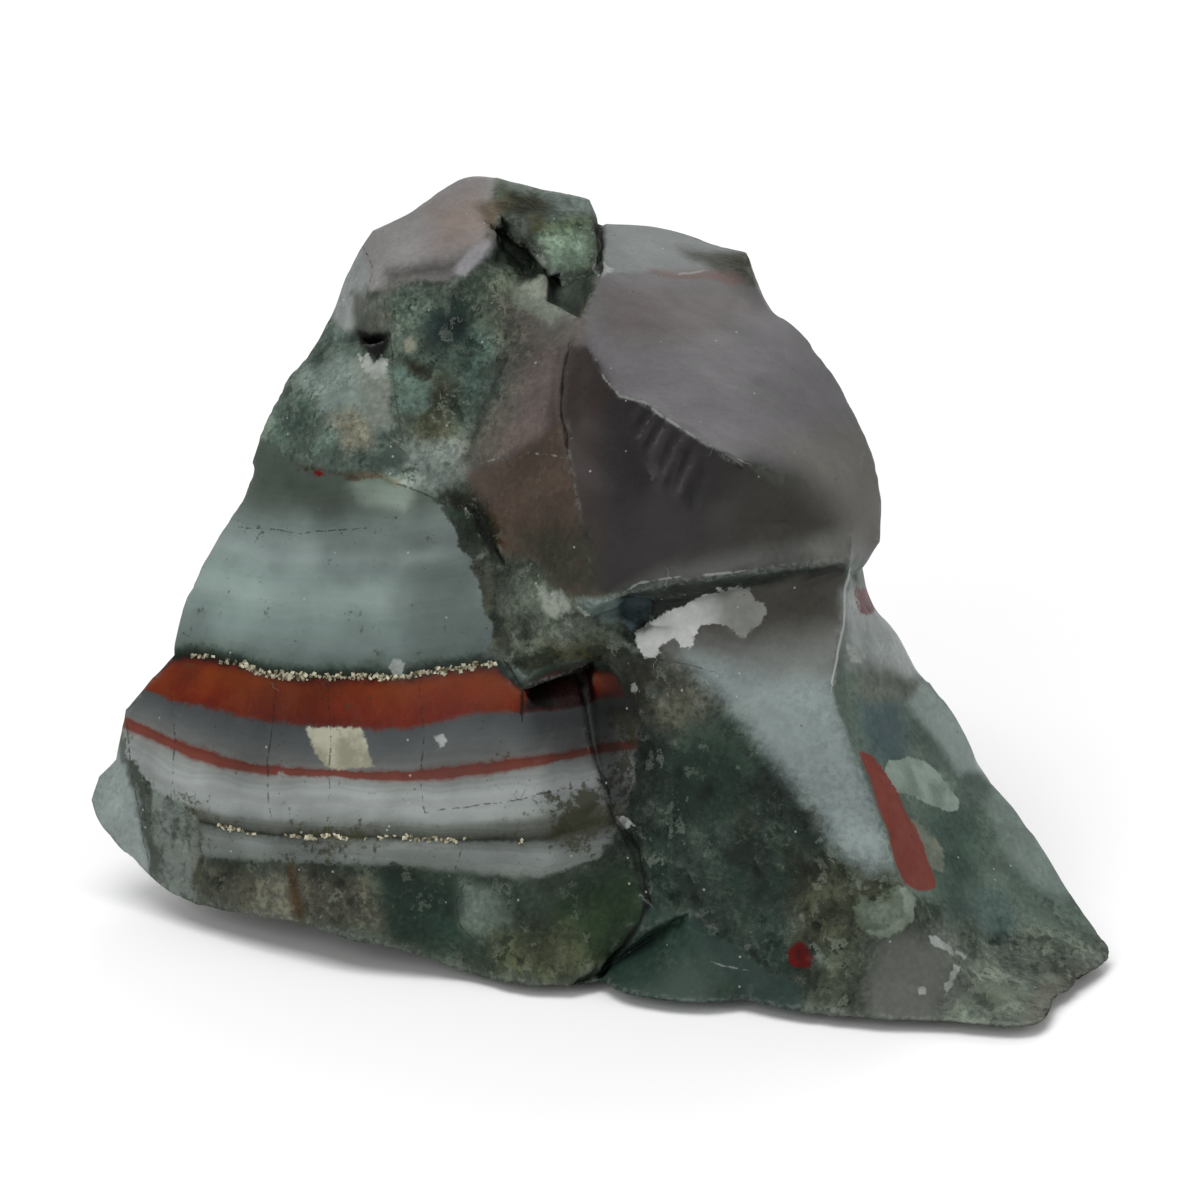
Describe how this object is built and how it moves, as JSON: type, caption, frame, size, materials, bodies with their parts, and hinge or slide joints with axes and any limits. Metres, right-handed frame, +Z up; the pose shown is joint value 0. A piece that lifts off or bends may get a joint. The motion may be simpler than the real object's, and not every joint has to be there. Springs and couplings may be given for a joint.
{
  "type": "rough bloodstone",
  "caption": "Rough natural bloodstone: a lump of banded jasper and chalcedony with broken, dished faces all round, standing on a small flat spot.",
  "frame": {"origin": "middle of the bounding box's lowest face, on the flat spot that the stone rests on", "axes": "+Z up; +X along the stone's longest extent, from the banded lobe to the sharp toe; the banded front faces -Y"},
  "size_m": [0.0508, 0.0372, 0.0344],
  "materials": {
    "bloodstone": "satin broken chalcedony and jasper, unpolished"
  },
  "bodies": {
    "root": {"bloodstone": "bloodstone"}
  },
  "joints": []
}
